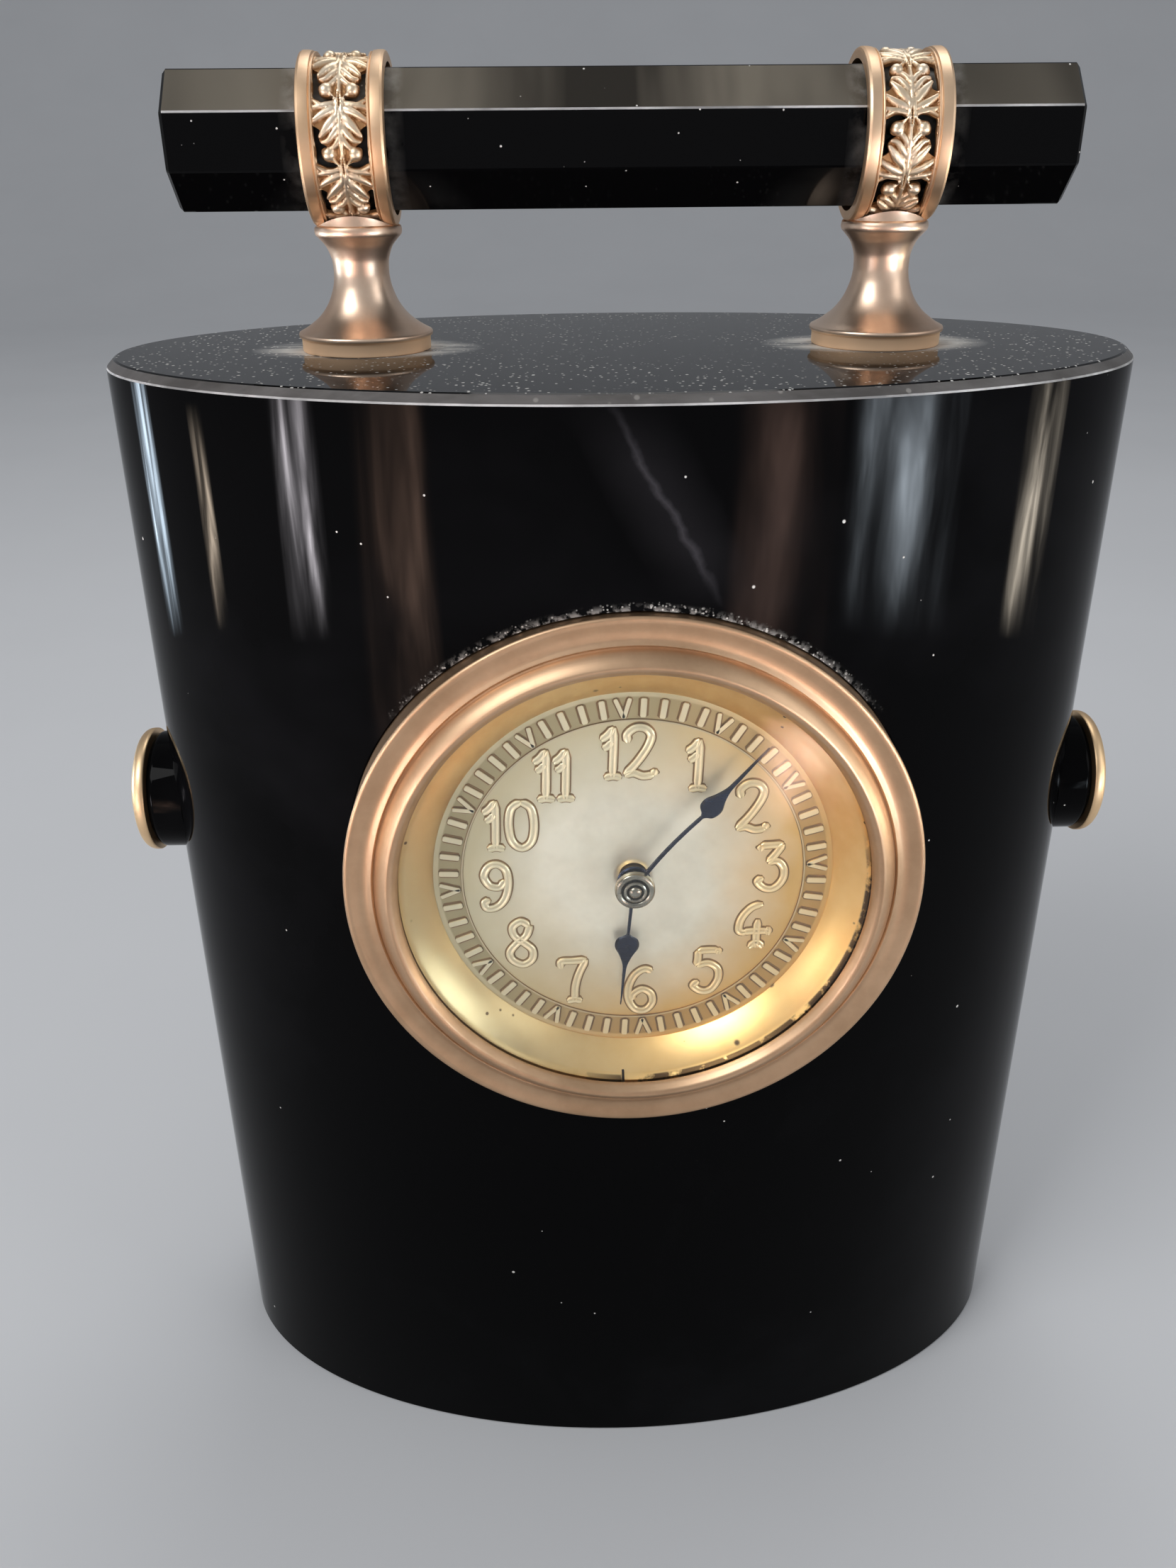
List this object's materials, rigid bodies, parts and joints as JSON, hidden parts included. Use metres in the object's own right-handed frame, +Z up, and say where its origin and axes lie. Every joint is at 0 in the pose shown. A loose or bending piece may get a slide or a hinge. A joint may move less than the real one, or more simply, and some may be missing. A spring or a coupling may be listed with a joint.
{
  "type": "desk clock",
  "caption": "Elliptical polished black stone column clock with a round gilt bezel, convex glass, embossed dial, wound lever movement and an octagonal carrying bar held in pierced collars.",
  "frame": {"origin": "centre of the column's flat base, where it rests", "axes": "+X to the right, +Y away from the viewer of the dial, +Z up; the dial faces -Y"},
  "size_m": [0.1318, 0.0694, 0.1793],
  "materials": {
    "black_stone": "mirror polished",
    "rose_brass": "satin, slightly tarnished",
    "pierced_gilt": "cast, polished high spots",
    "yellow_gilt": "polished gilt",
    "silvered_dial": "embossed, silvered",
    "clear_glass": "clear",
    "drum_brass": "turned",
    "movement_brass": "brushed",
    "cut_steel": "polished",
    "blued_steel": "dark blued"
  },
  "bodies": {
    "case": {"stone_body": "black_stone", "handle_bar": "black_stone", "left_handle_post": "rose_brass", "right_handle_post": "rose_brass", "left_pierced_collar": "pierced_gilt", "right_pierced_collar": "pierced_gilt", "left_side_roundel": "black_stone", "right_side_roundel": "black_stone", "left_boss_cap": "yellow_gilt", "right_boss_cap": "yellow_gilt", "bezel": "rose_brass", "dial_glass": "clear_glass", "sight_ring": "yellow_gilt", "dial": "silvered_dial", "drum_case": "drum_brass", "rear_ring": "rose_brass", "door_hinge_pin": "cut_steel", "front_plate": "movement_brass", "back_plate": "movement_brass", "plate_pillars": "movement_brass", "plate_screws": "blued_steel", "movement_screws": "blued_steel", "click_screw": "blued_steel", "click_spring": "blued_steel", "hairspring": "blued_steel", "balance_cock": "movement_brass", "cock_screw": "blued_steel", "minute_wheel_stud": "cut_steel"},
    "minute_train": {"centre_arbor": "cut_steel", "centre_wheel": "movement_brass", "cannon_pinion": "movement_brass", "minute_hand": "blued_steel", "hand_collet": "blued_steel", "set_knob": "movement_brass"},
    "hour_train": {"hour_wheel": "movement_brass", "hour_hand": "blued_steel"},
    "motion_train": {"minute_wheel": "movement_brass"},
    "barrel": {"mainspring_barrel": "movement_brass", "barrel_cap": "movement_brass", "mainspring": "blued_steel"},
    "third": {"third_arbor": "cut_steel", "third_wheel": "movement_brass"},
    "fourth": {"fourth_arbor": "cut_steel", "fourth_wheel": "movement_brass"},
    "escape": {"escape_arbor": "cut_steel", "escape_wheel": "movement_brass"},
    "winder": {"winding_arbor": "cut_steel", "winding_key": "cut_steel", "ratchet_wheel": "cut_steel"},
    "click": {"click": "cut_steel"},
    "lever": {"pallet_lever": "cut_steel", "pallet_arbor": "cut_steel"},
    "balance": {"balance_staff": "cut_steel", "balance_wheel": "movement_brass"},
    "regulator": {"regulator_lever": "cut_steel"},
    "door": {"rear_door": "rose_brass"}
  },
  "joints": [
    {"name": "minute_spin", "type": "hinge", "parent": "case", "child": "minute_train", "pos_m": [0, -0.016, 0.093], "axis": [0, 1, 0], "continuous": true},
    {"name": "hour_spin", "type": "hinge", "parent": "case", "child": "hour_train", "pos_m": [0, -0.028, 0.093], "axis": [0, 1, 0], "continuous": true},
    {"name": "motion_spin", "type": "hinge", "parent": "case", "child": "motion_train", "pos_m": [-0.00564, -0.026, 0.09505], "axis": [0, 1, 0], "continuous": true},
    {"name": "barrel_spin", "type": "hinge", "parent": "case", "child": "barrel", "pos_m": [-0.00723, -0.018, 0.08268], "axis": [0, 1, 0], "continuous": true},
    {"name": "third_spin", "type": "hinge", "parent": "case", "child": "third", "pos_m": [0.01015, -0.016, 0.09669], "axis": [0, 1, 0], "continuous": true},
    {"name": "fourth_spin", "type": "hinge", "parent": "case", "child": "fourth", "pos_m": [0.0085, -0.016, 0.10607], "axis": [0, 1, 0], "continuous": true},
    {"name": "escape_spin", "type": "hinge", "parent": "case", "child": "escape", "pos_m": [0.0007, -0.016, 0.10744], "axis": [0, 1, 0], "continuous": true},
    {"name": "winding", "type": "hinge", "parent": "case", "child": "winder", "pos_m": [-0.00723, -0.008, 0.08268], "axis": [0, 1, 0], "continuous": true},
    {"name": "click_lift", "type": "hinge", "parent": "case", "child": "click", "pos_m": [-0.00983, -0.0073, 0.07554], "axis": [0, 1, 0], "range_deg": [0, 8], "stiffness_Nm_per_rad": 0.000001, "springref_deg": -5.73},
    {"name": "lever_swing", "type": "hinge", "parent": "case", "child": "lever", "pos_m": [-0.00521, -0.016, 0.1064], "axis": [0, 1, 0], "range_deg": [-4, 4]},
    {"name": "balance_swing", "type": "hinge", "parent": "case", "child": "balance", "pos_m": [-0.01048, -0.012, 0.10449], "axis": [0, 1, 0], "range_deg": [-270, 270], "stiffness_Nm_per_rad": 0.0000145},
    {"name": "regulator_turn", "type": "hinge", "parent": "case", "child": "regulator", "pos_m": [-0.01048, -0.0023, 0.10449], "axis": [0, 1, 0], "range_deg": [-20, 20]},
    {"name": "door_hinge", "type": "hinge", "parent": "case", "child": "door", "pos_m": [-0.0317, 0.0332, 0.093], "axis": [0, 0, 1], "range_deg": [0, 115]}
  ],
  "couplings": [
    {"joint": "hour_spin", "follows": "minute_spin", "ratio": 0.083333},
    {"joint": "motion_spin", "follows": "minute_spin", "ratio": -0.33333},
    {"joint": "barrel_spin", "follows": "minute_spin", "ratio": -0.16667},
    {"joint": "third_spin", "follows": "minute_spin", "ratio": -8},
    {"joint": "fourth_spin", "follows": "minute_spin", "ratio": 60},
    {"joint": "escape_spin", "follows": "minute_spin", "ratio": -600}
  ]
}
